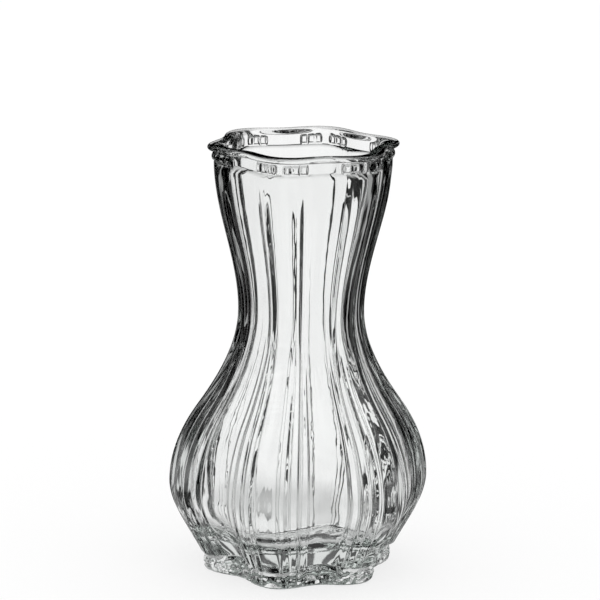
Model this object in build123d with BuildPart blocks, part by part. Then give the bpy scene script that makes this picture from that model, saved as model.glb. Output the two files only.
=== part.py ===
"""Six-lobed moulded glass posy vase: lobed foot, ribbed bulb, waisted neck, plain collar and rolled lip."""

import os
from math import cos, radians, sin
from typing import NamedTuple

from build123d import *

# Heights of the zones, each measured from the one below it
foot_rise = 6.5
belly_rise = 29.3
shoulder_rise = 30.5
waist_rise = 37.5
neck_rise = 59.2
collar_rise = 3.4
lip_rise = 3.6

# Radii over the lobes' crests
foot_radius = 38.0
foot_edge = 2.0
belly_start_radius = 38.5
belly_radius = 51.3
shoulder_radius = 40.4
waist_radius = 25.0
neck_top_radius = 35.5
collar_radius = 34.9
lip_overhang = 3.2

# How the outline leans at each station, as radius gained for each unit of height
belly_start_slope = 0.5
shoulder_slope = -0.72
neck_top_slope = 0.02

# Plan of the mould: lobes with a smooth crest, a smooth valley and fine ribs on the flanks between
lobes = 6
ribs_on_a_flank = 3
crest_degrees = 11.0
rib_degrees = 5.0
bulb_rib_height = 1.0
neck_rib_height = 0.3
foot_valley_share = 0.832
body_valley_share = 0.885
lip_valley_share = 0.871

# Hollow inside and its walls
base_thickness = 12.0
floor_radius = 5.0
floor_slope = 4.5
belly_wall = 6.4
shoulder_wall = 5.4
waist_wall = 4.6
neck_top_wall = 5.0
mouth_flare = 1.8
bulb_hollow_valley_share = 0.94
neck_hollow_valley_share = 0.9
cut_overrun = 1.0

# Rest ring under the foot, and the turns of the round edge outside it
push_up_radius = 26.0
push_up_top_radius = 18.0
push_up_depth = 2.2
foot_edge_turns = (0, 45, 90)

# Rolled lip: how far up and how far out each ring of the roll lies
lip_rise_shares = (0.0, 0.2, 0.55, 0.85, 1.0)
lip_reach_shares = (0.0, 0.7, 1.0, 0.8, 0.35)
rings_in_a_zone = 5

# Heights above the surface that the vase stands on
belly_height = foot_rise + belly_rise
shoulder_height = belly_height + shoulder_rise
waist_height = shoulder_height + waist_rise
neck_top_height = waist_height + neck_rise
collar_top_height = neck_top_height + collar_rise
total_height = collar_top_height + lip_rise

lobe_degrees = 360 / lobes
valley_degrees = lobe_degrees - crest_degrees - 2 * ribs_on_a_flank * rib_degrees
mouth_radius = neck_top_radius - neck_top_wall + mouth_flare
mouth_slope = mouth_flare / (collar_rise + lip_rise)


class Station(NamedTuple):
    """Level of the outline: its height, crest radius, lean, rib height and valley share."""

    height: float
    radius: float
    slope: float
    rib: float
    valley_share: float


class Level(NamedTuple):
    """One lobed ring: its height, crest radius, rib height and valley share."""

    height: float
    radius: float
    rib: float
    valley_share: float


# Stations of the outside and of the hollow, from low to high
outer_stations = (
    Station(foot_rise, belly_start_radius, belly_start_slope, 0, foot_valley_share),
    Station(belly_height, belly_radius, 0, bulb_rib_height, body_valley_share),
    Station(shoulder_height, shoulder_radius, shoulder_slope, bulb_rib_height, body_valley_share),
    Station(waist_height, waist_radius, 0, neck_rib_height, body_valley_share),
    Station(neck_top_height, neck_top_radius, neck_top_slope, 0, body_valley_share),
)
inner_stations = (
    Station(base_thickness, floor_radius, floor_slope, 0, bulb_hollow_valley_share),
    Station(belly_height, belly_radius - belly_wall, 0, 0, bulb_hollow_valley_share),
    Station(
        shoulder_height,
        shoulder_radius - shoulder_wall,
        shoulder_slope,
        0,
        bulb_hollow_valley_share,
    ),
    Station(waist_height, waist_radius - waist_wall, 0, 0, neck_hollow_valley_share),
    Station(
        neck_top_height,
        neck_top_radius - neck_top_wall,
        neck_top_slope,
        0,
        neck_hollow_valley_share,
    ),
    Station(total_height + cut_overrun, mouth_radius, mouth_slope, 0, neck_hollow_valley_share),
)


def blended_levels(stations):
    """Levels of the rings that carry a smooth outline through its stations."""
    first = stations[0]
    levels = [Level(first.height, first.radius, first.rib, first.valley_share)]
    for low, high in zip(stations, stations[1:]):
        rise = high.height - low.height
        for step in range(1, rings_in_a_zone + 1):
            t = step / rings_in_a_zone
            from_low = (1 + 2 * t) * (1 - t) ** 2 * low.radius + t * (1 - t) ** 2 * rise * low.slope
            from_high = t * t * (3 - 2 * t) * high.radius + t * t * (t - 1) * rise * high.slope
            levels.append(
                Level(
                    low.height + t * rise,
                    from_low + from_high,
                    low.rib + t * (high.rib - low.rib),
                    low.valley_share + t * (high.valley_share - low.valley_share),
                )
            )
    return levels


def outline_point(level, degrees, proud):
    """Point of a level's lobed outline at an angle from the front lobe's crest, standing proud of it."""
    dip = (1 - cos(radians(lobes * degrees))) / 2
    reach = level.radius * (1 - (1 - level.valley_share) * dip) + proud
    return reach * sin(radians(degrees)), -reach * cos(radians(degrees))


def lobed_ring(level):
    """Flat face of a level: for each lobe a smooth crest, a flank of ribs, a smooth valley and a flank again."""
    flank = [(rib_degrees, level.rib)] * ribs_on_a_flank
    with BuildSketch(Plane.XY.offset(level.height)) as ring:
        with BuildLine():
            for lobe in range(lobes):
                start = lobe * lobe_degrees - crest_degrees / 2
                for width, proud in [(crest_degrees, 0), *flank, (valley_degrees, 0), *flank]:
                    ThreePointArc(
                        outline_point(level, start, 0),
                        outline_point(level, start + width / 2, proud),
                        outline_point(level, start + width, 0),
                    )
                    start += width
        make_face()
    return ring.sketch


def plain_ring(level):
    """Flat face of a level of the hollow: one smooth crest and one smooth valley for each lobe."""
    quarter = lobe_degrees / 4
    with BuildSketch(Plane.XY.offset(level.height)) as ring:
        with BuildLine():
            for side in range(2 * lobes):
                middle = 2 * quarter * side
                ThreePointArc(
                    outline_point(level, middle - quarter, 0),
                    outline_point(level, middle, 0),
                    outline_point(level, middle + quarter, 0),
                )
        make_face()
    return ring.sketch


# The hollow: a round bowl in the lower bulb, then the waist and a mouth that opens out through the lip
bowl_levels = blended_levels(inner_stations[:2])
throat_levels = blended_levels(inner_stations[1:])
with BuildPart() as hollow:
    loft([plain_ring(level) for level in bowl_levels], ruled=True)
    loft([plain_ring(level) for level in throat_levels])

# Levels of the ribbed bulb and neck
body_levels = blended_levels(outer_stations)

# Levels of the lobed foot, from its round bottom edge up to the start of the bulb
foot_levels = [
    Level(
        foot_edge * (1 - cos(radians(turn))),
        foot_radius - foot_edge * (1 - sin(radians(turn))),
        0,
        foot_valley_share,
    )
    for turn in foot_edge_turns
]
foot_levels.append(body_levels[0])

# Levels of the plain collar above the ends of the ribs
collar_levels = [
    body_levels[-1],
    Level(collar_top_height, collar_radius, 0, body_valley_share),
]

# Levels of the rolled lip, whose lobes change from the collar's to its own on the way out
lip_levels = [
    Level(
        collar_top_height + rise_share * lip_rise,
        collar_radius + reach_share * lip_overhang,
        0,
        body_valley_share + reach_share * (lip_valley_share - body_valley_share),
    )
    for rise_share, reach_share in zip(lip_rise_shares, lip_reach_shares)
]

# The glass is one moulding from the foot to the lip, with the hollow cut out of it
with BuildPart() as glass_vase:
    loft([lobed_ring(level) for level in foot_levels], ruled=True)
    loft([lobed_ring(level) for level in body_levels])
    loft([lobed_ring(level) for level in collar_levels], ruled=True)
    loft([lobed_ring(level) for level in lip_levels], ruled=True)
    add(hollow.part, mode=Mode.SUBTRACT)

    # The underside is pushed up inside the rest ring
    with BuildSketch():
        Circle(push_up_radius)
    with BuildSketch(Plane.XY.offset(push_up_depth)):
        Circle(push_up_top_radius)
    loft(mode=Mode.SUBTRACT)

os.makedirs("parts", exist_ok=True)
glass_vase.part.label = "glass_vase"
export_step(glass_vase.part, "parts/glass_vase.step")
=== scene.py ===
"""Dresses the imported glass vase: one moulded piece of clear glass on a pale floor in soft studio light."""

import logging
import math
from dataclasses import dataclass, field
from enum import Enum
from typing import NamedTuple

import bmesh
import bpy
from mathutils import Matrix, Vector


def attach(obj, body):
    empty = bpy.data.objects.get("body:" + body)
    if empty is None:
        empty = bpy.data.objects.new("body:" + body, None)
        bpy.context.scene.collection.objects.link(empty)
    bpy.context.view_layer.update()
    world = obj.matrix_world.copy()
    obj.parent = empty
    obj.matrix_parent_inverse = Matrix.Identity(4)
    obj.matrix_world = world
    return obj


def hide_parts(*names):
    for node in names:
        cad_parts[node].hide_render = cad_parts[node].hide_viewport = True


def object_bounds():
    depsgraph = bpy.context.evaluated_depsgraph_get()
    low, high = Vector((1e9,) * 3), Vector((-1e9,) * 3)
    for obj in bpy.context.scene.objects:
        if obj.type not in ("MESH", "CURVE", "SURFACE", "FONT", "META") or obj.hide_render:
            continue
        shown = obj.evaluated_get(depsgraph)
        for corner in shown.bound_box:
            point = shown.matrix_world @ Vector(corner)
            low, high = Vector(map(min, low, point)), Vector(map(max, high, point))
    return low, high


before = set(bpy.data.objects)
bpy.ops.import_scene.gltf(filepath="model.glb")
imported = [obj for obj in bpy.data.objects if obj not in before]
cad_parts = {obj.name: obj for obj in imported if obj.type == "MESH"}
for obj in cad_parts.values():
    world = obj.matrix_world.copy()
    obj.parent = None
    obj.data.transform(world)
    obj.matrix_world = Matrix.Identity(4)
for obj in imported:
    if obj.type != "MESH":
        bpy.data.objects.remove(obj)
CAD_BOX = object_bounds()

LOG = logging.getLogger("vase")
MM = 0.001
CM = 0.01
HALF = 0.5
QUARTER_TURN = math.radians(90)
HALF_TURN = math.radians(180)
FULL_CIRCLE_DEGREES = 360.0

# Kinds of node that are used most
MATH = "ShaderNodeMath"
MAP_RANGE = "ShaderNodeMapRange"
SMOOTH = "SMOOTHSTEP"


def linear(hex_colour: str) -> tuple[float, float, float, float]:
    """Turns an sRGB hex colour into a linear one with full alpha.

    Args:
        hex_colour: Six hex digits, with or without a leading mark.
    Returns:
        Linear red, green, blue and alpha.
    """
    digits = hex_colour.lstrip("#")
    parts = [int(digits[i : i + 2], 16) / 255 for i in (0, 2, 4)]
    return (*[c / 12.92 if c <= 0.04045 else ((c + 0.055) / 1.055) ** 2.4 for c in parts], 1.0)


def add_node(
    tree: bpy.types.NodeTree, kind: str, inputs: dict | None = None, **settings: object
) -> bpy.types.Node:
    """Adds a node, sets its properties, and fills or links its inputs.

    Args:
        tree: Tree that gets the node.
        kind: Blender's name for the kind of node.
        inputs: Input names or places, each with a value or a socket to link from.
        settings: Properties of the node.
    Returns:
        The new node.
    """
    node = tree.nodes.new(kind)
    for name, value in settings.items():
        setattr(node, name, value)
    for key, value in (inputs or {}).items():
        if isinstance(value, bpy.types.NodeSocket):
            tree.links.new(value, node.inputs[key])
        else:
            node.inputs[key].default_value = value
    return node


def ease(low: float, high: float, value: float) -> float:
    """Smooth step from 0 at low to 1 at high."""
    share = min(1.0, max(0.0, (value - low) / (high - low)))
    return share * share * (3 - 2 * share)


def shares(steps: int) -> list[float]:
    """Ends of equal steps along a way, as shares of it, up to 1."""
    return [(i + 1) / steps for i in range(steps)]


class Feature(Enum):
    """What the mould presses into a ring of the glass, named as the ring's attribute."""

    VALLEY = "valley"
    RIB = "rib"
    RIDGE = "ridge"
    KNOB = "knob"
    LIFT = "lift"
    STREAK = "streak"
    SHIFT = "shift"


class Station(NamedTuple):
    """Level of an outline: its height, its radius over the lobes' crests and its lean."""

    height: float
    radius: float
    slope: float


@dataclass
class Ring:
    """One ring of the glass surface, in millimetres, and how strongly each mould feature shows there."""

    radius: float
    height: float
    strengths: dict[Feature, float] = field(default_factory=dict)


@dataclass(frozen=True)
class PressedGlass:
    """Clear soda-lime pressed glass, fire polished: colourless where thin, faintly green-grey where thick."""

    name: str = "clear_soda_lime_pressed_glass"
    base: str = "#FFFFFF"
    depth_tint: str = "#DDEBE4"
    density_per_m: float = 12.0
    ior: float = 1.5
    roughness: float = 0.0
    ripple_mm: float = 5.0
    ripple_stretch: float = 0.2
    ripple_detail: float = 2.0
    ripple_strength: float = 0.02

    def material(self) -> bpy.types.Material:
        """Builds the glass: a smooth clear surface with faint ripples, tinted by the depth of the glass.

        Returns:
            The glass.
        """
        made = bpy.data.materials.new(self.name)
        made.use_nodes = True
        tree = made.node_tree
        tree.nodes.clear()

        # Faint ripples, drawn out up and down, make the lines seen through the glass waver
        place = add_node(tree, "ShaderNodeTexCoord").outputs["Object"]
        stretched = add_node(
            tree, "ShaderNodeMapping", {"Vector": place, "Scale": (1.0, 1.0, self.ripple_stretch)}
        ).outputs[0]
        ripple = add_node(
            tree,
            "ShaderNodeTexNoise",
            {"Vector": stretched, "Scale": 1 / (self.ripple_mm * MM), "Detail": self.ripple_detail},
        ).outputs["Fac"]
        bump = add_node(
            tree,
            "ShaderNodeBump",
            {"Height": ripple, "Strength": self.ripple_strength, "Distance": self.ripple_mm * MM},
        ).outputs[0]

        # Fire polish leaves a surface that is smooth to the eye, and the iron in the glass tints its depth
        shader = add_node(
            tree,
            "ShaderNodeBsdfPrincipled",
            {
                "Base Color": linear(self.base),
                "Roughness": self.roughness,
                "IOR": self.ior,
                "Transmission Weight": 1.0,
                "Normal": bump,
            },
        ).outputs[0]
        depth = add_node(
            tree,
            "ShaderNodeVolumeAbsorption",
            {"Color": linear(self.depth_tint), "Density": self.density_per_m},
        ).outputs[0]
        add_node(tree, "ShaderNodeOutputMaterial", {"Surface": shader, "Volume": depth})
        return made


@dataclass
class MouldTree:
    """Geometry tree that presses a line of rings into the lobed, ribbed surface of the glass."""

    inputs: dict[str, tuple[str, object]]
    noise_detail: float = 2.0
    knob_roundness: float = 2.0
    tree: bpy.types.NodeTree = field(init=False)
    given: bpy.types.bpy_prop_collection = field(init=False)
    strength: dict[Feature, bpy.types.NodeSocket] = field(init=False, default_factory=dict)

    def __post_init__(self) -> None:
        """Opens the tree with its named inputs and its output."""
        self.tree = bpy.data.node_groups.new("lobed_glass", "GeometryNodeTree")
        ports = self.tree.interface
        ports.new_socket("Rings", in_out="INPUT", socket_type="NodeSocketGeometry")
        for name, (kind, _) in self.inputs.items():
            ports.new_socket(name, in_out="INPUT", socket_type=kind)
        ports.new_socket("Skin", in_out="OUTPUT", socket_type="NodeSocketGeometry")
        self.given = add_node(self.tree, "NodeGroupInput").outputs

    def grid(self) -> tuple[bpy.types.NodeSocket, ...]:
        """Adds a grid of one column for each place round the vase and one row for each ring.

        Returns:
            The grid, the number of each point's ring and its share of the way round.
        """
        tree, given = self.tree, self.given
        count = add_node(
            tree, "GeometryNodeAttributeDomainSize", {"Geometry": given["Rings"]}, component="MESH"
        ).outputs["Point Count"]
        wide = add_node(tree, MATH, {0: given["Columns"], 1: 1.0}, operation="ADD").outputs[0]
        grid = add_node(
            tree, "GeometryNodeMeshGrid", {"Vertices X": wide, "Vertices Y": count}
        ).outputs["Mesh"]
        index = add_node(tree, "GeometryNodeInputIndex").outputs[0]
        ring = add_node(tree, MATH, {0: index, 1: count}, operation="MODULO").outputs[0]
        row_share = add_node(tree, MATH, {0: index, 1: count}, operation="DIVIDE").outputs[0]
        column = add_node(tree, MATH, {0: row_share}, operation="FLOOR").outputs[0]
        turn = add_node(tree, MATH, {0: column, 1: given["Columns"]}, operation="DIVIDE").outputs[0]
        return grid, ring, turn

    def places(self, turn: bpy.types.NodeSocket) -> tuple[bpy.types.NodeSocket, ...]:
        """Crowds the columns together on the ribbed flanks, half way between crest and valley.

        Args:
            turn: Share of the way round that each column would have if they were even.
        Returns:
            The place round the vase in lobes, and as an angle.
        """
        tree, given = self.tree, self.given
        two_swings = 2 * math.tau
        even = add_node(tree, MATH, {0: turn, 1: given["Lobes"]}, operation="MULTIPLY").outputs[0]
        swing = add_node(tree, MATH, {0: even, 1: two_swings}, operation="MULTIPLY").outputs[0]
        swing = add_node(tree, MATH, {0: swing}, operation="SINE").outputs[0]
        reach = add_node(
            tree, MATH, {0: given["Crowding"], 1: two_swings}, operation="DIVIDE"
        ).outputs[0]
        place = add_node(
            tree, MATH, {0: swing, 1: reach, 2: even}, operation="MULTIPLY_ADD"
        ).outputs[0]
        lobe_angle = add_node(
            tree, MATH, {0: math.tau, 1: given["Lobes"]}, operation="DIVIDE"
        ).outputs[0]
        angle = add_node(tree, MATH, {0: place, 1: lobe_angle}, operation="MULTIPLY").outputs[0]
        return place, angle

    def rings(self, ring: bpy.types.NodeSocket) -> tuple[bpy.types.NodeSocket, ...]:
        """Looks up each ring's radius, height and strengths.

        Args:
            ring: Number of each point's ring.
        Returns:
            The ring's radius and height.
        """
        tree, given = self.tree, self.given
        for feature in Feature:
            kept = add_node(
                tree, "GeometryNodeInputNamedAttribute", {"Name": feature.value}, data_type="FLOAT"
            ).outputs["Attribute"]
            self.strength[feature] = add_node(
                tree,
                "GeometryNodeSampleIndex",
                {"Geometry": given["Rings"], "Value": kept, "Index": ring},
                data_type="FLOAT",
                domain="POINT",
            ).outputs["Value"]
        spot = add_node(tree, "GeometryNodeInputPosition").outputs[0]
        base = add_node(
            tree,
            "GeometryNodeSampleIndex",
            {"Geometry": given["Rings"], "Value": spot, "Index": ring},
            data_type="FLOAT_VECTOR",
            domain="POINT",
        ).outputs["Value"]
        radius, _, height = add_node(tree, "ShaderNodeSeparateXYZ", {0: base}).outputs
        return radius, height

    def dip(self, angle: bpy.types.NodeSocket) -> bpy.types.NodeSocket:
        """Tells how far each place lies from a crest towards a valley, from 0 to 1.

        Args:
            angle: Angle round the vase.
        Returns:
            The share of the way.
        """
        tree = self.tree
        wave = add_node(tree, MATH, {0: angle, 1: self.given["Lobes"]}, operation="MULTIPLY").outputs[0]
        wave = add_node(tree, MATH, {0: wave}, operation="COSINE").outputs[0]
        return add_node(
            tree, MAP_RANGE, {"Value": wave, "From Min": 1.0, "From Max": -1.0}
        ).outputs[0]

    def off_crest(self, place: bpy.types.NodeSocket) -> bpy.types.NodeSocket:
        """Tells how many degrees each place lies from the nearest crest.

        Args:
            place: Place round the vase, in lobes.
        Returns:
            The degrees.
        """
        tree = self.tree
        nearest = add_node(tree, MATH, {0: place, 1: HALF}, operation="PINGPONG").outputs[0]
        lobe_degrees = add_node(
            tree, MATH, {0: FULL_CIRCLE_DEGREES, 1: self.given["Lobes"]}, operation="DIVIDE"
        ).outputs[0]
        return add_node(tree, MATH, {0: nearest, 1: lobe_degrees}, operation="MULTIPLY").outputs[0]

    def ribs(self, off_crest: bpy.types.NodeSocket) -> bpy.types.NodeSocket:
        """Round ribs side by side on each flank, between the smooth crest and the smooth valley.

        Args:
            off_crest: Degrees from the nearest crest.
        Returns:
            How far the ribs stand proud, as a share of the radius.
        """
        tree, given = self.tree, self.given
        half_crest = add_node(
            tree, MATH, {0: given["Crest degrees"], 1: HALF}, operation="MULTIPLY"
        ).outputs[0]
        past = add_node(tree, MATH, {0: off_crest, 1: half_crest}, operation="SUBTRACT").outputs[0]
        past = add_node(
            tree, MATH, {0: past, 1: self.strength[Feature.SHIFT]}, operation="ADD"
        ).outputs[0]
        rib_place = add_node(
            tree, MATH, {0: past, 1: given["Rib degrees"]}, operation="DIVIDE"
        ).outputs[0]
        off_groove = add_node(tree, MATH, {0: rib_place, 1: HALF}, operation="PINGPONG").outputs[0]
        rib = add_node(
            tree,
            MAP_RANGE,
            {"Value": off_groove, "From Max": given["Groove share"], "To Max": QUARTER_TURN},
        ).outputs[0]
        rib = add_node(tree, MATH, {0: rib}, operation="SINE").outputs[0]
        started = add_node(tree, MATH, {0: rib_place, 1: 0.0}, operation="GREATER_THAN").outputs[0]
        ended = add_node(
            tree, MATH, {0: rib_place, 1: given["Ribs on a flank"]}, operation="LESS_THAN"
        ).outputs[0]
        for factor in (started, ended, self.strength[Feature.RIB], given["Rib proud share"]):
            rib = add_node(tree, MATH, {0: rib, 1: factor}, operation="MULTIPLY").outputs[0]
        return rib

    def ridges(self, off_crest: bpy.types.NodeSocket) -> bpy.types.NodeSocket:
        """A broad swelling on each flank, where the ribs run together up the neck.

        Args:
            off_crest: Degrees from the nearest crest.
        Returns:
            How far the ridges stand proud, as a share of the radius.
        """
        tree, given = self.tree, self.given
        aside = add_node(
            tree, MATH, {0: off_crest, 1: given["Ridge degrees"]}, operation="SUBTRACT"
        ).outputs[0]
        aside = add_node(tree, MATH, {0: aside}, operation="ABSOLUTE").outputs[0]
        ridge = add_node(
            tree,
            MAP_RANGE,
            {"Value": aside, "From Min": given["Ridge half degrees"], "From Max": 0.0},
            interpolation_type=SMOOTH,
        ).outputs[0]
        for factor in (self.strength[Feature.RIDGE], given["Ridge proud share"]):
            ridge = add_node(tree, MATH, {0: ridge, 1: factor}, operation="MULTIPLY").outputs[0]
        return ridge

    def knobs(
        self,
        off_crest: bpy.types.NodeSocket,
        height: bpy.types.NodeSocket,
        ring_radius: bpy.types.NodeSocket,
    ) -> bpy.types.NodeSocket:
        """Squarish knobs round the foot, with creases pressed in between them.

        Args:
            off_crest: Degrees from the nearest crest.
            height: Height of each point.
            ring_radius: Radius of its ring.
        Returns:
            Depth of the creases.
        """
        tree, given = self.tree, self.given
        turn = add_node(tree, MATH, {0: off_crest}, operation="RADIANS").outputs[0]
        around = add_node(tree, MATH, {0: turn, 1: given["Foot radius"]}, operation="MULTIPLY").outputs[0]
        along = add_node(tree, MATH, {0: height, 1: ring_radius}, operation="SUBTRACT").outputs[0]
        spread = add_node(tree, "ShaderNodeCombineXYZ", {0: around, 1: along}).outputs[0]
        per_knob = add_node(tree, MATH, {0: 1.0, 1: given["Knob size"]}, operation="DIVIDE").outputs[0]
        cells = add_node(
            tree,
            "ShaderNodeTexVoronoi",
            {"Vector": spread, "Scale": per_knob, "Randomness": given["Knob jumble"]},
            voronoi_dimensions="2D",
            feature="F1",
            distance="CHEBYCHEV",
        ).outputs["Distance"]
        crease = add_node(tree, MATH, {0: cells, 1: HALF}, operation="DIVIDE").outputs[0]
        crease = add_node(tree, MATH, {0: crease, 1: self.knob_roundness}, operation="POWER").outputs[0]
        for factor in (self.strength[Feature.KNOB], given["Knob height"]):
            crease = add_node(tree, MATH, {0: crease, 1: factor}, operation="MULTIPLY").outputs[0]
        return crease

    def streaks(
        self,
        sine: bpy.types.NodeSocket,
        cosine: bpy.types.NodeSocket,
        height: bpy.types.NodeSocket,
    ) -> bpy.types.NodeSocket:
        """Long soft waves in the wall of the hollow, which no mould touched.

        Args:
            sine: Sine of each point's angle round the vase.
            cosine: Cosine of it.
            height: Height of each point.
        Returns:
            How far the wall waves outwards.
        """
        tree, given = self.tree, self.given
        rise = add_node(tree, MATH, {0: height, 1: given["Streak length"]}, operation="DIVIDE").outputs[0]
        rise = add_node(
            tree, MATH, {0: rise, 1: given["Streak width share"]}, operation="MULTIPLY"
        ).outputs[0]
        drawn = add_node(tree, "ShaderNodeCombineXYZ", {0: sine, 1: cosine, 2: rise}).outputs[0]
        per_streak = add_node(
            tree, MATH, {0: 1.0, 1: given["Streak width share"]}, operation="DIVIDE"
        ).outputs[0]
        streak = add_node(
            tree,
            "ShaderNodeTexNoise",
            {"Vector": drawn, "W": given["Seed"], "Scale": per_streak, "Detail": self.noise_detail},
            noise_dimensions="4D",
        ).outputs["Fac"]
        streak = add_node(tree, MATH, {0: streak, 1: HALF}, operation="SUBTRACT").outputs[0]
        for factor in (self.strength[Feature.STREAK], given["Streak height"]):
            streak = add_node(tree, MATH, {0: streak, 1: factor}, operation="MULTIPLY").outputs[0]
        return streak

    def skin(self, grid: bpy.types.NodeSocket, spot: bpy.types.NodeSocket) -> None:
        """Puts every point of the grid in its place, closes the surface and gives it its glass.

        Args:
            grid: The flat grid.
            spot: Each point's place.
        """
        tree, given = self.tree, self.given
        skin = add_node(tree, "GeometryNodeSetPosition", {"Geometry": grid, "Position": spot}).outputs[0]
        skin = add_node(
            tree, "GeometryNodeMergeByDistance", {"Geometry": skin, "Distance": given["Seam"]}
        ).outputs[0]
        skin = add_node(tree, "GeometryNodeSetShadeSmooth", {"Geometry": skin}).outputs[0]
        skin = add_node(tree, "GeometryNodeRealizeInstances", {"Geometry": skin}).outputs[0]
        skin = add_node(
            tree, "GeometryNodeSetMaterial", {"Geometry": skin, "Material": given["Glass"]}
        ).outputs[0]
        add_node(tree, "NodeGroupOutput", {"Skin": skin})

    def build(self) -> bpy.types.NodeTree:
        """Fills the tree.

        Returns:
            The tree, from the line of rings to the skin.
        """
        tree, given = self.tree, self.given
        grid, ring, turn = self.grid()
        place, angle = self.places(turn)
        ring_radius, ring_height = self.rings(ring)
        dip = self.dip(angle)
        off_crest = self.off_crest(place)

        # Ribs and ridges stand proud of the lobes, whose radius falls from each crest to the valleys
        fall = add_node(
            tree, MATH, {0: dip, 1: self.strength[Feature.VALLEY]}, operation="MULTIPLY"
        ).outputs[0]
        share = add_node(
            tree, MATH, {0: self.ribs(off_crest), 1: self.ridges(off_crest)}, operation="ADD"
        ).outputs[0]
        share = add_node(tree, MATH, {0: share, 1: fall}, operation="SUBTRACT").outputs[0]
        share = add_node(tree, MATH, {0: share, 1: 1.0}, operation="ADD").outputs[0]
        radius = add_node(tree, MATH, {0: ring_radius, 1: share}, operation="MULTIPLY").outputs[0]

        # The foot stands higher in the valleys
        lift = add_node(
            tree, MATH, {0: dip, 1: self.strength[Feature.LIFT]}, operation="MULTIPLY"
        ).outputs[0]
        height = add_node(
            tree, MATH, {0: lift, 1: given["Valley lift"], 2: ring_height}, operation="MULTIPLY_ADD"
        ).outputs[0]

        # Creases go inwards and streaks outwards
        sine = add_node(tree, MATH, {0: angle}, operation="SINE").outputs[0]
        cosine = add_node(tree, MATH, {0: angle}, operation="COSINE").outputs[0]
        creases = self.knobs(off_crest, height, ring_radius)
        streaks = self.streaks(sine, cosine, height)
        radius = add_node(tree, MATH, {0: radius, 1: creases}, operation="SUBTRACT").outputs[0]
        radius = add_node(tree, MATH, {0: radius, 1: streaks}, operation="ADD").outputs[0]

        # Every point goes to its place round the axis, with the front crest towards -Y
        across = add_node(tree, MATH, {0: radius, 1: sine}, operation="MULTIPLY").outputs[0]
        along = add_node(tree, MATH, {0: radius, 1: cosine}, operation="MULTIPLY").outputs[0]
        along = add_node(tree, MATH, {0: along, 1: -1.0}, operation="MULTIPLY").outputs[0]
        spot = add_node(tree, "ShaderNodeCombineXYZ", {0: across, 1: along, 2: height}).outputs[0]
        self.skin(grid, spot)
        return tree


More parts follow.
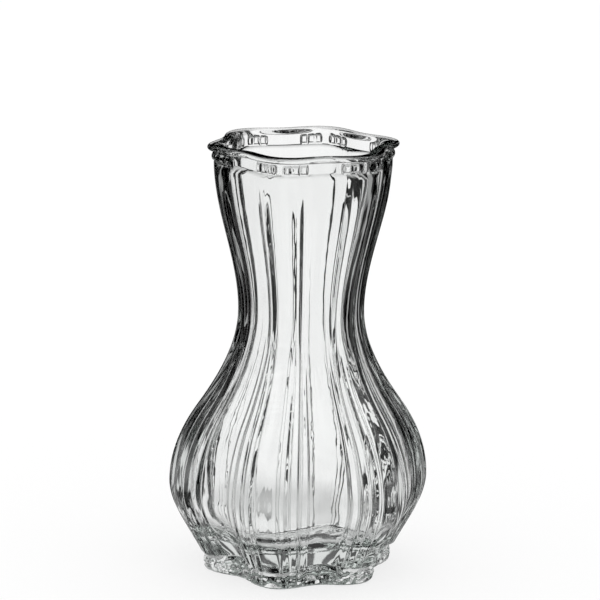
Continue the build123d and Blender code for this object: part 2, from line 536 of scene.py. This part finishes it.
@dataclass
class LobedVase:
    """The vase: one closed glass surface, outside and inside, made by a rule of lobes, ribs and rings.

    Lengths are in millimetres, from the surface that the vase stands on. Radii are over the lobes' crests.
    """

    height: float
    belly_radius: float
    lobes: int = 6

    # Foot, the groove above it and the bulb's rounded lower edge
    foot_rise: float = 6.5
    foot_radius: float = 38.0
    foot_edge: float = 2.0
    foot_groove: float = 3.0
    groove_starts: float = 0.7
    bulb_edge: float = 1.2
    foot_valley_lift: float = 2.4
    foot_lift_fade: float = 8.0
    push_up_radius: float = 26.0
    push_up_depth: float = 2.2

    # Outline of the bulb and the neck
    belly_start_radius: float = 38.5
    belly_start_slope: float = 0.5
    belly_height: float = 35.8
    shoulder_height: float = 66.3
    shoulder_radius: float = 40.4
    shoulder_slope: float = -0.72
    waist_height: float = 103.8
    waist_radius: float = 25.0
    neck_top_height: float = 163.0
    neck_top_radius: float = 35.5
    neck_top_slope: float = 0.02

    # Collar and lip
    collar_radius: float = 34.9
    collar_rise: float = 4.2
    collar_step: float = 0.3
    lip_radius: float = 38.1
    lip_thickness: float = 1.8
    lip_crown: float = 0.2
    mouth_edge: float = 2.4

    # Hollow inside and its walls
    base_thickness: float = 9.5
    floor_radius: float = 24.0
    floor_slope: float = 2.6
    belly_wall: float = 6.4
    shoulder_wall: float = 5.4
    waist_wall: float = 4.6
    neck_top_wall: float = 5.0

    # How deep the valleys are, as shares of the radius
    foot_valley: float = 0.168
    outer_valley: float = 0.115
    lip_valley: float = 0.129
    inner_foot_valley: float = 0.15
    inner_valley: float = 0.06
    inner_neck_valley: float = 0.075

    # Ribs on the flanks, and their strength in each zone as a share of the belly's
    crest_degrees: float = 11.0
    rib_degrees: float = 5.0
    ribs_on_a_flank: int = 3
    rib_proud_share: float = 0.014
    groove_share: float = 0.25
    rib_fade: float = 3.0
    neck_rib_share: float = 0.12
    low_rib_share: float = 1.6
    foot_rib_share: float = 0.5
    collar_rib_share: float = 3.0
    bead_shift_degrees: float = 2.5

    # Ridges of the neck
    ridge_degrees: float = 12.0
    ridge_half_degrees: float = 6.0
    ridge_proud_share: float = 0.022
    ridge_low: float = 70.0
    ridge_top: float = 156.0
    ridge_fade: float = 14.0

    # Knobs of the foot and streaks of the hollow
    knob_size: float = 2.2
    knob_height: float = 0.7
    knob_jumble: float = 0.7
    knobs_fade: float = 0.8
    streak_height: float = 0.12
    streak_width_share: float = 0.33
    streak_length: float = 60.0
    seed: int = 7

    # Columns round the vase, and steps of each zone from ring to ring
    columns: int = 480
    crowding: float = 0.55
    push_up_steps: int = 12
    rest_steps: int = 4
    foot_edge_steps: int = 3
    foot_steps: int = 12
    bulb_edge_steps: int = 6
    body_steps: tuple[int, ...] = (18, 15, 15, 24)
    collar_steps: int = 8
    cove_steps: int = 6
    lip_steps: int = 10
    crown_steps: int = 5
    mouth_steps: int = 5
    hollow_steps: tuple[int, ...] = (16, 9, 9, 12)
    floor_steps: int = 7
    seam: float = 0.01
    sliver: float = 0.002
    finish: PressedGlass = field(default_factory=PressedGlass)

    @staticmethod
    def blend(low: Station, high: Station, share: float) -> tuple[float, float]:
        """Point of the smooth outline between two stations.

        Args:
            low: The lower station.
            high: The upper one.
            share: How far up between them, from 0 to 1.
        Returns:
            Height and radius there.
        """
        rise = high.height - low.height
        rest = 1 - share
        from_low = (1 + 2 * share) * rest**2 * low.radius + share * rest**2 * rise * low.slope
        from_high = share**2 * (3 - 2 * share) * high.radius - share**2 * rest * rise * high.slope
        return low.height + share * rise, from_low + from_high

    def outline(self, stations: list[Station], steps: tuple[int, ...]) -> list[tuple[float, float]]:
        """Heights and radii of a smooth outline through its stations.

        Args:
            stations: The stations, from low to high.
            steps: How many steps there are between each two.
        Returns:
            Height and radius of each point.
        """
        points = [(stations[0].height, stations[0].radius)]
        for low, high, count in zip(stations, stations[1:], steps):
            points += [self.blend(low, high, share) for share in shares(count)]
        return points

    def underside(self) -> list[Ring]:
        """Smooth dome of the push-up and the flat rest ring round it.

        Returns:
            The rings, from the middle outwards.
        """
        rings = []
        for share in [0.0, *shares(self.push_up_steps)]:
            rings.append(
                Ring(
                    self.push_up_radius * share,
                    self.push_up_depth * (1 - share**2) ** 2,
                    {Feature.VALLEY: self.foot_valley * share**4},
                )
            )
        rest_width = self.foot_radius - self.foot_edge - self.push_up_radius
        for share in shares(self.rest_steps):
            radius = self.push_up_radius + rest_width * share
            rings.append(Ring(radius, 0.0, {Feature.VALLEY: self.foot_valley}))
        return rings

    def foot(self) -> list[Ring]:
        """The knobbly foot: its rounded bottom edge, its side and the groove under the bulb.

        Returns:
            The rings, from low to high.
        """
        rings = []
        for share in shares(self.foot_edge_steps):
            turn = QUARTER_TURN * share
            rings.append(
                Ring(
                    self.foot_radius - self.foot_edge * (1 - math.sin(turn)),
                    self.foot_edge * (1 - math.cos(turn)),
                    {Feature.VALLEY: self.foot_valley, Feature.KNOB: share},
                )
            )
        for share in shares(self.foot_steps):
            rings.append(
                Ring(
                    self.foot_radius - self.foot_groove * ease(self.groove_starts, 1.0, share),
                    self.foot_edge + share * (self.foot_rise - self.foot_edge),
                    {
                        Feature.VALLEY: self.foot_valley,
                        Feature.KNOB: 1 - ease(self.knobs_fade, 1.0, share),
                        Feature.RIB: self.foot_rib_share,
                        Feature.LIFT: share**2,
                    },
                )
            )
        return rings

    def body(self) -> list[Ring]:
        """The ribbed bulb and neck, from the groove to the ribs' rounded ends under the collar.

        Returns:
            The rings, from low to high.
        """
        stations = [
            Station(self.foot_rise, self.belly_start_radius, self.belly_start_slope),
            Station(self.belly_height, self.belly_radius, 0.0),
            Station(self.shoulder_height, self.shoulder_radius, self.shoulder_slope),
            Station(self.waist_height, self.waist_radius, 0.0),
            Station(self.neck_top_height, self.neck_top_radius, self.neck_top_slope),
        ]
        low_edge = []
        for share in [0.0, *shares(self.bulb_edge_steps)[:-1]]:
            turn = QUARTER_TURN * share
            rise = self.bulb_edge * (1 - math.cos(turn))
            height, radius = self.blend(*stations[:2], rise / (self.belly_height - self.foot_rise))
            low_edge.append((height, radius - self.bulb_edge * (1 - math.sin(turn))))
        rings = []
        for height, radius in low_edge + self.outline(stations, self.body_steps)[1:]:
            neck = ease(self.ridge_low, self.waist_height, height)
            low = 1 - ease(self.foot_rise, self.belly_height, height)
            rib_end = min(1.0, (self.neck_top_height - height) / self.rib_fade)
            ridge_end = min(1.0, max(0.0, (self.ridge_top - height) / self.ridge_fade))
            rib = math.sqrt(rib_end * (2 - rib_end))
            rib *= 1 - neck * (1 - self.neck_rib_share)
            rib *= 1 + low * (self.low_rib_share - 1)
            rings.append(
                Ring(
                    radius,
                    height,
                    {
                        Feature.VALLEY: self.outer_valley + low * (self.foot_valley - self.outer_valley),
                        Feature.RIB: rib,
                        Feature.RIDGE: neck * math.sqrt(ridge_end * (2 - ridge_end)),
                        Feature.LIFT: max(0.0, 1 - (height - self.foot_rise) / self.foot_lift_fade) ** 2,
                    },
                )
            )
        return rings

    def collar(self) -> list[Ring]:
        """The collar, where the ribs swell again into a row of beads.

        Returns:
            The rings, from low to high.
        """
        rings = []
        for share in [0.0, *shares(self.collar_steps)]:
            rise = self.collar_step + share * (self.collar_rise - self.collar_step)
            swell = math.sqrt(math.sin(HALF_TURN * share))
            rings.append(
                Ring(
                    self.collar_radius,
                    self.neck_top_height + rise,
                    {
                        Feature.VALLEY: self.outer_valley,
                        Feature.RIB: self.collar_rib_share * swell,
                        Feature.SHIFT: self.bead_shift_degrees,
                    },
                )
            )
        return rings

    def lip(self) -> list[Ring]:
        """The rolled lip: the cove under it, its round edge, its crown and the edge of the mouth.

        Returns:
            The rings, from the collar up, over and into the mouth.
        """
        half = self.lip_thickness / 2
        top = self.height - self.lip_crown
        shape = {Feature.VALLEY: self.lip_valley}
        rings = []
        cove_low = self.neck_top_height + self.collar_rise
        cove_rise = top - self.lip_thickness - cove_low
        cove_reach = self.lip_radius - half - self.collar_radius
        for share in shares(self.cove_steps)[:-1]:
            turn = QUARTER_TURN * share
            rings.append(
                Ring(
                    self.collar_radius + cove_reach * (1 - math.cos(turn)),
                    cove_low + cove_rise * math.sin(turn),
                    {Feature.VALLEY: self.outer_valley + share * (self.lip_valley - self.outer_valley)},
                )
            )
        for share in [0.0, *shares(self.lip_steps)]:
            turn = HALF_TURN * share - QUARTER_TURN
            radius = self.lip_radius - half * (1 - math.cos(turn))
            rings.append(Ring(radius, top - half * (1 - math.sin(turn)), shape))
        outer = self.lip_radius - half
        inner = self.neck_top_radius - self.neck_top_wall + self.mouth_edge
        for share in shares(self.crown_steps):
            radius = outer + share * (inner - outer)
            rings.append(Ring(radius, top + self.lip_crown * math.sin(HALF_TURN * share), shape))
        for share in shares(self.mouth_steps):
            turn = QUARTER_TURN * share
            rings.append(
                Ring(
                    inner - self.mouth_edge * math.sin(turn),
                    top - self.mouth_edge * (1 - math.cos(turn)),
                    {Feature.VALLEY: self.lip_valley + share * (self.inner_neck_valley - self.lip_valley)},
                )
            )
        return rings

    def inside(self) -> list[Ring]:
        """The hollow, from the mouth down to the middle of its dished floor.

        Returns:
            The rings, from high to low.
        """
        stations = [
            Station(self.base_thickness, self.floor_radius, self.floor_slope),
            Station(self.belly_height, self.belly_radius - self.belly_wall, 0.0),
            Station(self.shoulder_height, self.shoulder_radius - self.shoulder_wall, self.shoulder_slope),
            Station(self.waist_height, self.waist_radius - self.waist_wall, 0.0),
            Station(self.neck_top_height, self.neck_top_radius - self.neck_top_wall, self.neck_top_slope),
        ]
        rings = []
        for height, radius in reversed(self.outline(stations, self.hollow_steps)):
            neck = ease(self.ridge_low, self.waist_height, height)
            low = 1 - ease(self.base_thickness, self.belly_height, height)
            valley = self.inner_valley + neck * (self.inner_neck_valley - self.inner_valley)
            valley += low * (self.inner_foot_valley - self.inner_valley)
            rings.append(Ring(radius, height, {Feature.VALLEY: valley, Feature.STREAK: 1.0}))
        dish = self.floor_radius / self.floor_slope / 2
        for step in shares(self.floor_steps):
            share = 1 - step
            rings.append(
                Ring(
                    self.floor_radius * share,
                    self.base_thickness - dish * (1 - share**2),
                    {Feature.VALLEY: self.inner_foot_valley * share**2},
                )
            )
        return rings

    def ring_line(self) -> bpy.types.Object:
        """Line of points, one for each ring, with the mould features' strengths as attributes.

        Returns:
            The line's object.
        """
        rings = [
            *self.underside(),
            *self.foot(),
            *self.body(),
            *self.collar(),
            *self.lip(),
            *self.inside(),
        ]
        line = bpy.data.meshes.new("glass_rings")
        line.from_pydata(
            [(ring.radius * MM, 0.0, ring.height * MM) for ring in rings],
            [(i, i + 1) for i in range(len(rings) - 1)],
            [],
        )
        for feature in Feature:
            values = line.attributes.new(feature.value, "FLOAT", "POINT")
            values.data.foreach_set("value", [ring.strengths.get(feature, 0.0) for ring in rings])
        ob = bpy.data.objects.new("glass_vase_skin", line)
        bpy.context.scene.collection.objects.link(ob)
        return ob

    def inputs(self) -> dict[str, tuple[str, object]]:
        """Named inputs of the geometry tree, with lengths in metres.

        Returns:
            For each name, its kind of socket and its value.
        """
        number = "NodeSocketFloat"
        return {
            "Columns": ("NodeSocketInt", self.columns),
            "Lobes": (number, float(self.lobes)),
            "Crowding": (number, self.crowding),
            "Crest degrees": (number, self.crest_degrees),
            "Rib degrees": (number, self.rib_degrees),
            "Ribs on a flank": (number, float(self.ribs_on_a_flank)),
            "Rib proud share": (number, self.rib_proud_share),
            "Groove share": (number, self.groove_share),
            "Ridge degrees": (number, self.ridge_degrees),
            "Ridge half degrees": (number, self.ridge_half_degrees),
            "Ridge proud share": (number, self.ridge_proud_share),
            "Valley lift": (number, self.foot_valley_lift * MM),
            "Foot radius": (number, self.foot_radius * MM),
            "Knob size": (number, self.knob_size * MM),
            "Knob jumble": (number, self.knob_jumble),
            "Knob height": (number, self.knob_height * MM),
            "Streak height": (number, self.streak_height * MM),
            "Streak width share": (number, self.streak_width_share),
            "Streak length": (number, self.streak_length * MM),
            "Seed": (number, float(self.seed)),
            "Seam": (number, self.seam * MM),
            "Glass": ("NodeSocketMaterial", self.finish.material()),
        }

    def build(self) -> bpy.types.Object:
        """Makes the glass surface as a plain closed mesh.

        Returns:
            The vase's object, at the origin, with its place in its mesh.
        """
        ob = self.ring_line()
        inputs = self.inputs()
        tree = MouldTree(inputs).build()
        press = ob.modifiers.new("lobed_glass", "NODES")
        press.node_group = tree
        for item in tree.interface.items_tree:
            if item.in_out == "INPUT" and item.name in inputs:
                press[item.identifier] = inputs[item.name][1]
        evaluated = ob.evaluated_get(bpy.context.evaluated_depsgraph_get())
        skin = bpy.data.meshes.new_from_object(evaluated)
        ob.modifiers.remove(press)
        ob.data = skin
        shell = bmesh.new()
        shell.from_mesh(skin)
        bmesh.ops.dissolve_degenerate(shell, dist=self.sliver * MM, edges=shell.edges)
        bmesh.ops.recalc_face_normals(shell, faces=shell.faces)
        shell.to_mesh(skin)
        open_edges = sum(not edge.is_manifold for edge in shell.edges)
        volume = shell.calc_volume() / CM**3
        shell.free()
        triangles = sum(len(face.vertices) - 2 for face in skin.polygons)
        LOG.info("%s: %d triangles, %d open edges, %.1f cm3", ob.name, triangles, open_edges, volume)
        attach(ob, "root")
        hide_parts("glass_vase")
        return ob


def bent_and_mirrored(tree: bpy.types.NodeTree) -> tuple[bpy.types.NodeSocket, bpy.types.NodeSocket]:
    """Adds the nodes that tell which rays come out of the glass.

    Args:
        tree: Tree that gets the nodes.
    Returns:
        1 for a ray that the glass has bent or mirrored, and 1 for a ray that it has mirrored on the way.
    """
    path = add_node(tree, "ShaderNodeLightPath").outputs
    bent = add_node(
        tree, MATH, {0: path["Is Glossy Ray"], 1: path["Is Transmission Ray"]}, operation="MAXIMUM"
    ).outputs[0]
    mirrored = add_node(tree, MATH, {0: path["Glossy Depth"], 1: HALF}, operation="GREATER_THAN").outputs[0]
    return bent, mirrored


@dataclass(frozen=True)
class Panels:
    """White panels round the room with darker gaps between them; angles in degrees from a panel's middle."""

    count: int
    offset: float
    panel_ends: float
    gap_starts: float
    level: float
    gap_level: float

    def shine(
        self, tree: bpy.types.NodeTree, way: bpy.types.NodeSocket, front: float
    ) -> bpy.types.NodeSocket:
        """Adds the nodes that tell how bright the panels are in a level direction.

        Args:
            tree: Tree that gets the nodes.
            way: Direction or place, seen from the vase's axis.
            front: Degrees from the vase's front to the direction that the panels are counted from.
        Returns:
            The level.
        """
        parts = add_node(tree, "ShaderNodeSeparateXYZ", {0: way}).outputs
        bearing = add_node(tree, MATH, {0: parts[0], 1: parts[1]}, operation="ARCTAN2").outputs[0]
        turned = add_node(
            tree, MATH, {0: bearing, 1: math.radians(front + self.offset)}, operation="ADD"
        ).outputs[0]
        folded = add_node(tree, MATH, {0: turned, 1: float(self.count)}, operation="MULTIPLY").outputs[0]
        facing = add_node(tree, MATH, {0: folded}, operation="COSINE").outputs[0]
        return add_node(
            tree,
            MAP_RANGE,
            {
                "Value": facing,
                "From Min": math.cos(math.radians(self.count * self.gap_starts)),
                "From Max": math.cos(math.radians(self.count * self.panel_ends)),
                "To Min": self.gap_level,
                "To Max": self.level,
            },
            interpolation_type=SMOOTH,
        ).outputs[0]


@dataclass(frozen=True)
class MattCard:
    """Matt white card, lit evenly: a plain pale ground that shows a soft shadow and no gloss.

    Straight rays out of the glass see the room past it, and mirrored ones see the card's painted glow: light
    panels round the vase with dark gaps, a painted reflection of the room.
    """

    name: str = "matt_white_card"
    glow: str = "#FFFFFF"
    glow_strength: float = 0.75
    matt: str = "#8B8B8B"
    near_full: float = 180.0
    near_ends: float = 330.0
    # Painted glow near the vase: light panels and dark gaps that only mirrored rays see
    near: Panels = Panels(
        count=16, offset=0.0, panel_ends=4.0, gap_starts=7.0, level=0.75, gap_level=0.1
    )

    def material(self, far: Panels, front: float) -> bpy.types.Material:
        """Builds the card.

        Args:
            far: Panels that mirrored rays see beyond the near ones.
            front: Degrees from the vase's front to the direction that the panels are counted from.
        Returns:
            The card.
        """
        made = bpy.data.materials.new(self.name)
        made.use_nodes = True
        tree = made.node_tree
        tree.nodes.clear()
        bent, mirrored = bent_and_mirrored(tree)
        glow = add_node(
            tree, "ShaderNodeEmission", {"Color": linear(self.glow), "Strength": self.glow_strength}
        ).outputs[0]
        matt = add_node(tree, "ShaderNodeBsdfDiffuse", {"Color": linear(self.matt)}).outputs[0]
        card = add_node(tree, "ShaderNodeAddShader", {0: glow, 1: matt}).outputs[0]
        place = add_node(tree, "ShaderNodeTexCoord").outputs["Object"]
        distance = add_node(tree, "ShaderNodeVectorMath", {0: place}, operation="LENGTH").outputs["Value"]
        near = add_node(
            tree,
            MAP_RANGE,
            {"Value": distance, "From Min": self.near_ends * MM, "From Max": self.near_full * MM},
            interpolation_type=SMOOTH,
        ).outputs[0]
        level = add_node(
            tree,
            "ShaderNodeMix",
            {"Factor": near, "A": far.shine(tree, place, front), "B": self.near.shine(tree, place, front)},
            data_type="FLOAT",
        ).outputs[0]
        # Painted glow of panels and gaps on the card, shown only to rays that the glass has mirrored
        turned = add_node(tree, "ShaderNodeEmission", {"Strength": level}).outputs[0]
        past = add_node(tree, "ShaderNodeBsdfTransparent").outputs[0]
        glass = add_node(tree, "ShaderNodeMixShader", {0: mirrored, 1: past, 2: turned}).outputs[0]
        both = add_node(tree, "ShaderNodeMixShader", {0: bent, 1: card, 2: glass}).outputs[0]
        add_node(tree, "ShaderNodeOutputMaterial", {"Surface": both})
        return made


@dataclass
class Studio:
    """Pale floor, soft light all round and the camera, placed as in the photograph.

    Lengths are in millimetres. The panels' heights are degrees over or under the horizon.
    """

    camera_azimuth: float = -45.0
    camera_distance: float = 1340.0
    camera_height: float = 420.0
    aim_height: float = 107.2
    lens: float = 211.24
    sensor_width: float = 36.0
    shift_across: float = -0.0023
    roll_degrees: float = 0.94
    sight_starts: float = 10.0
    sight_ends: float = 100000.0

    # Floor
    floor_side: float = 12000.0
    card: MattCard = field(default_factory=MattCard)

    # Plain background to the eye
    background: str = "#FFFFFF"
    background_level: float = 1.0

    # Panels that straight rays out of the glass see, up to a top edge, and an even level steeply below
    straight: Panels = Panels(
        count=8, offset=0.0, panel_ends=14.0, gap_starts=16.5, level=1.0, gap_level=0.02
    )
    panel_top: float = 4.0
    panel_fades: float = 18.0
    steep_starts: float = 18.0
    steep_full: float = 36.0
    steep_level: float = 0.65

    # Panels that mirrored rays see round the room and overhead
    mirrored: Panels = Panels(
        count=8, offset=22.5, panel_ends=2.0, gap_starts=7.0, level=0.35, gap_level=0.0
    )
    overhead: Panels = Panels(
        count=8, offset=0.0, panel_ends=8.0, gap_starts=14.0, level=0.9, gap_level=0.1
    )
    overhead_starts: float = 20.0
    overhead_full: float = 30.0

    def camera(self) -> None:
        """Adds the camera at the photograph's viewing angle."""
        turn = math.radians(self.camera_azimuth)
        stand = Vector((math.sin(turn), -math.cos(turn), 0.0)) * self.camera_distance * MM
        stand.z = self.camera_height * MM
        aim = Vector((0.0, 0.0, self.aim_height * MM))
        data = bpy.data.cameras.new("photo_view")
        data.lens = self.lens
        data.sensor_width = self.sensor_width
        data.shift_x = self.shift_across
        data.clip_start = self.sight_starts * MM
        data.clip_end = self.sight_ends * MM
        ob = bpy.data.objects.new("photo_view", data)
        look = (aim - stand).to_track_quat("-Z", "Y").to_matrix().to_4x4()
        lean = Matrix.Rotation(math.radians(self.roll_degrees), 4, "Z")
        ob.matrix_world = Matrix.Translation(stand) @ look @ lean
        bpy.context.scene.collection.objects.link(ob)
        bpy.context.scene.camera = ob

    def floor(self) -> None:
        """Adds a plain pale floor, which takes the vase's shadow and lets the glass see the room past it."""
        half = self.floor_side * MM / 2
        mesh = bpy.data.meshes.new("floor")
        corners = [(-half, -half, 0), (half, -half, 0), (half, half, 0), (-half, half, 0)]
        mesh.from_pydata(corners, [], [(0, 1, 2, 3)])
        mesh.materials.append(self.card.material(self.mirrored, self.camera_azimuth))
        ob = bpy.data.objects.new("floor", mesh)
        bpy.context.scene.collection.objects.link(ob)

    def light(self) -> None:
        """Lights the room evenly, white to the eye and with darker gaps for the glass to bend into view."""
        world = bpy.data.worlds.new("studio")
        bpy.context.scene.world = world
        world.use_nodes = True
        tree = world.node_tree
        tree.nodes.clear()
        bent, mirrored = bent_and_mirrored(tree)
        way = add_node(tree, "ShaderNodeTexCoord").outputs["Generated"]
        up = add_node(tree, "ShaderNodeSeparateXYZ", {0: way}).outputs[2]

        # How far a ray has gone under the panels' top, steeply down, and up overhead, each from 0 to 1
        zones = (
            (self.panel_fades, self.panel_top),
            (-self.steep_starts, -self.steep_full),
            (self.overhead_starts, self.overhead_full),
        )
        low, steep, high = (
            add_node(
                tree,
                MAP_RANGE,
                {
                    "Value": up,
                    "From Min": math.sin(math.radians(starts)),
                    "From Max": math.sin(math.radians(full)),
                },
                interpolation_type=SMOOTH,
            ).outputs[0]
            for starts, full in zones
        )
        straight, round_room, overhead = (
            panels.shine(tree, way, self.camera_azimuth)
            for panels in (self.straight, self.mirrored, self.overhead)
        )
        ahead = add_node(tree, MATH, {0: straight, 1: low}, operation="MULTIPLY").outputs[0]
        ahead = add_node(
            tree, "ShaderNodeMix", {"Factor": steep, "A": ahead, "B": self.steep_level}, data_type="FLOAT"
        ).outputs[0]
        back = add_node(
            tree, "ShaderNodeMix", {"Factor": high, "A": round_room, "B": overhead}, data_type="FLOAT"
        ).outputs[0]

        # The glass shows the room, and the eye sees the background
        room = add_node(
            tree, "ShaderNodeMix", {"Factor": mirrored, "A": ahead, "B": back}, data_type="FLOAT"
        ).outputs[0]
        level = add_node(
            tree, "ShaderNodeMix", {"Factor": bent, "A": self.background_level, "B": room}, data_type="FLOAT"
        ).outputs[0]
        sky = add_node(
            tree, "ShaderNodeBackground", {"Color": linear(self.background), "Strength": level}
        ).outputs[0]
        add_node(tree, "ShaderNodeOutputWorld", {"Surface": sky})

    def build(self) -> None:
        """Sets up the camera, the floor and the light."""
        self.camera()
        self.floor()
        self.light()
        bpy.context.scene.view_settings.view_transform = "Standard"


def main() -> None:
    """Builds the vase and its studio."""
    logging.basicConfig(level=logging.INFO)
    low, high = CAD_BOX
    vase = LobedVase(height=high.z / MM, belly_radius=-low.y / MM)
    piece = vase.build()
    LOG.info("made %s", piece.name)
    Studio().build()


if __name__ == "__main__":
    main()
